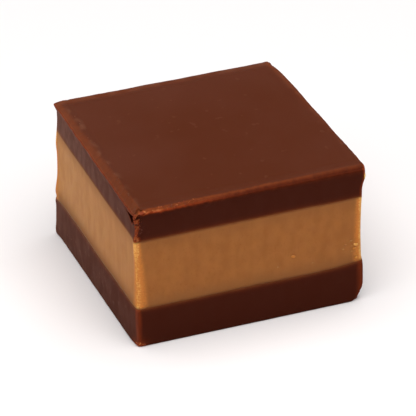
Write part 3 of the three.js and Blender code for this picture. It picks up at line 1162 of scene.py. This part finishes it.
def gianduja_colour(tree, cut, wear, scuff_and_sheen, smear):
    """The poured body with its painted sheen and the cut body, then painted shade in pits, scuffs with
    painted sheen, scratches, the smear over a seam, and worn edges with painted highlight and glow.
    """
    poured = mix_colour(tree, poured_sheen(tree), TOP_DARK, TOP_SHEEN)
    specked = mix_colour(tree, patches(tree, **TOP_SPECKS), poured, TOP_SPECK_AND_HIGHLIGHT)
    body = mix_colour(tree, cut, specked, CUT_GIANDUJA)
    hollow_shaded = mix_colour(tree, attribute(tree, "hollow_shade"), body, HOLLOW_SHADE_GIANDUJA)
    scuffed_and_sheened = mix_colour(tree, scuff_and_sheen, hollow_shaded, mix_colour(tree, cut, TOP_SPECK_AND_HIGHLIGHT, SCUFF_AND_SHEEN_GIANDUJA))
    scratches = combine(tree, "MULTIPLY", combine(tree, "MULTIPLY", patches(tree, **SCRATCHES), cut), scuff_and_sheen)
    scratched = mix_colour(tree, scratches, scuffed_and_sheened, SCRATCHED_GIANDUJA)
    smeared = mix_colour(tree, smear, scratched, seam_colour(tree, scuff_and_sheen))
    worn_and_lit = mix_colour(tree, wear, smeared, mix_colour(tree, cut, GIANDUJA_WORN_AND_LIT, CUT_WORN_AND_LIT))
    return mix_colour(tree, remap(tree, wear, GIANDUJA_HIGHLIGHT_OVER), worn_and_lit, GIANDUJA_BARE_HIGHLIGHT)


def gianduja_material(name, gloss, groups):
    """Gianduja of a gloss. The poured top has a faint one, and the cut faces have none."""
    material, tree, shader = new_material(name)
    cut = attribute(tree, "cut")
    wear = use(tree, groups["wear"])
    scuff_and_sheen = use(tree, groups["scuff_and_sheen"])
    grain = use(tree, groups["grain"])
    colour = gianduja_colour(tree, cut, wear, scuff_and_sheen, use(tree, groups["smear"]))
    roughness = remap(tree, combine(tree, "MAXIMUM", wear, cut), (0, 1), GIANDUJA_ROUGHNESS)
    relief = cut_relief(tree, grain, use(tree, groups["streaks"]), scuff_and_sheen, GIANDUJA_RELIEF)
    tree.links.new(colour, shader.inputs["Base Color"])
    tree.links.new(roughness, shader.inputs["Roughness"])
    tree.links.new(relief, shader.inputs["Normal"])
    shader.inputs["Specular IOR Level"].default_value = gloss
    let_light_in(shader, GIANDUJA_GLOW)
    return material


def cream_colour(tree, grain, wear, scuff_and_sheen, smear):
    """The mottled body, then specks, scuffs with painted sheen, the stain and painted shade by the seams,
    worn edges with painted glow and bare painted highlights, and the smear.
    """
    body = mix_colour(tree, patches(tree, **CREAM_MOTTLE), CREAM_DARK, CREAM_PALE)
    specked = mix_colour(tree, remap(tree, grain, **CREAM_GRAIN_SPECKS), body, CREAM_SPECK)
    scuffed_and_sheened = mix_colour(tree, scuff_and_sheen, specked, SCUFF_AND_SHEEN_CREAM)
    stained_and_shaded = mix_colour(tree, attribute(tree, "stain_and_shade"), scuffed_and_sheened, CREAM_STAIN_AND_SHADE)
    worn_and_lit = mix_colour(tree, remap(tree, wear, CREAM_WORN_AND_LIT_OVER), stained_and_shaded, CREAM_WORN_AND_LIT)
    bare_highlight = mix_colour(tree, remap(tree, wear, CREAM_HIGHLIGHT_OVER), worn_and_lit, CREAM_BARE_HIGHLIGHT)
    return mix_colour(tree, smear, bare_highlight, seam_colour(tree, scuff_and_sheen))


def cream_material(groups):
    material, tree, shader = new_material("hazelnut cream")
    grain = use(tree, groups["grain"])
    grainy = remap(tree, grain, **CREAM_GRAIN_WEAR)
    wear = combine(tree, "MULTIPLY", use(tree, groups["even wear"]), grainy)
    scuff_and_sheen = use(tree, groups["scuff_and_sheen"])
    colour = cream_colour(tree, grain, wear, scuff_and_sheen, use(tree, groups["smear"]))
    relief = cut_relief(tree, grain, use(tree, groups["streaks"]), scuff_and_sheen, CREAM_RELIEF)
    tree.links.new(colour, shader.inputs["Base Color"])
    tree.links.new(relief, shader.inputs["Normal"])
    shader.inputs["Roughness"].default_value = CREAM_ROUGHNESS
    shader.inputs["Specular IOR Level"].default_value = CREAM_GLOSS
    let_light_in(shader, CREAM_GLOW)
    return material


def floor_material():
    material, _, shader = new_material("white floor")
    shader.inputs["Base Color"].default_value = FLOOR_WHITE
    shader.inputs["Roughness"].default_value = FLOOR_ROUGHNESS
    shader.inputs["Specular IOR Level"].default_value = FLOOR_GLOSS
    return material


# Studio

def studio_floor():
    bm = bmesh.new()
    bmesh.ops.create_grid(bm, x_segments=1, y_segments=1, size=FLOOR_HALF)
    floor = put_mesh_in_scene(bm, "studio_floor", [floor_material()])


def softbox(name, place, size, power):
    """A square area light that looks from a place at the foot of the block."""
    light = bpy.data.lights.new(name, "AREA")
    light.shape = "SQUARE"
    light.size = size
    light.energy = power
    lamp = put_in_scene(name, light)
    lamp.location = place
    lamp.rotation_euler = (-Vector(place)).to_track_quat("-Z", "Y").to_euler()


def studio_light():
    for name, settings in SOFTBOXES.items():
        softbox(name, **settings)
    world = bpy.data.worlds.new("studio")
    world.use_nodes = True
    background = world.node_tree.nodes["Background"]
    background.inputs["Color"].default_value = WORLD_WHITE
    background.inputs["Strength"].default_value = WORLD_LIGHT
    bpy.context.scene.world = world


def studio_camera():
    back = Vector((
        math.sin(VIEW_AZIMUTH) * math.cos(VIEW_ELEVATION),
        -math.cos(VIEW_AZIMUTH) * math.cos(VIEW_ELEVATION),
        math.sin(VIEW_ELEVATION),
    ))
    lens = bpy.data.cameras.new("camera")
    lens.lens = LENS
    lens.sensor_width = SENSOR
    lens.clip_start = NEAREST
    lens.clip_end = FARTHEST
    camera = put_in_scene("camera", lens)
    camera.location = VIEW_AIM + back * VIEW_DISTANCE
    camera.rotation_euler = (-back).to_track_quat("-Z", "Y").to_euler()
    bpy.context.scene.camera = camera


groups = {
    "streaks": knife_streaks(),
    "wear": patchy_mark("ragged wear", "Wear", "worn_and_lit", RAGGED_WEAR),
    "even wear": patchy_mark("even wear", "Wear", "worn_and_lit", EVEN_WEAR),
    "grain": fine_grain(),
    "scuff_and_sheen": patchy_mark("patchy scuff", "Scuff_and_sheen", "scuff_and_sheen", SCUFF_AND_SHEEN_PATCHES),
    "smear": patchy_mark("seam smear", "Smear", "seam", SMEAR_PATCHES),
}
poured_gianduja = gianduja_material("poured gianduja", POURED_GLOSS, groups)
cut_gianduja = gianduja_material("cut gianduja", CUT_GLOSS, groups)
cream = cream_material(groups)
studio_camera()
studio_floor()
studio_light()
base_layer(cut_gianduja)
cream_layer(cream)
top_layer(poured_gianduja, cut_gianduja)
gianduja_crumbs(cut_gianduja)
ridge_highlight_flakes(poured_gianduja)
cream_crumbs(cream)

bpy.context.scene.view_settings.view_transform = "Standard"
bpy.context.scene.view_settings.look = "None"
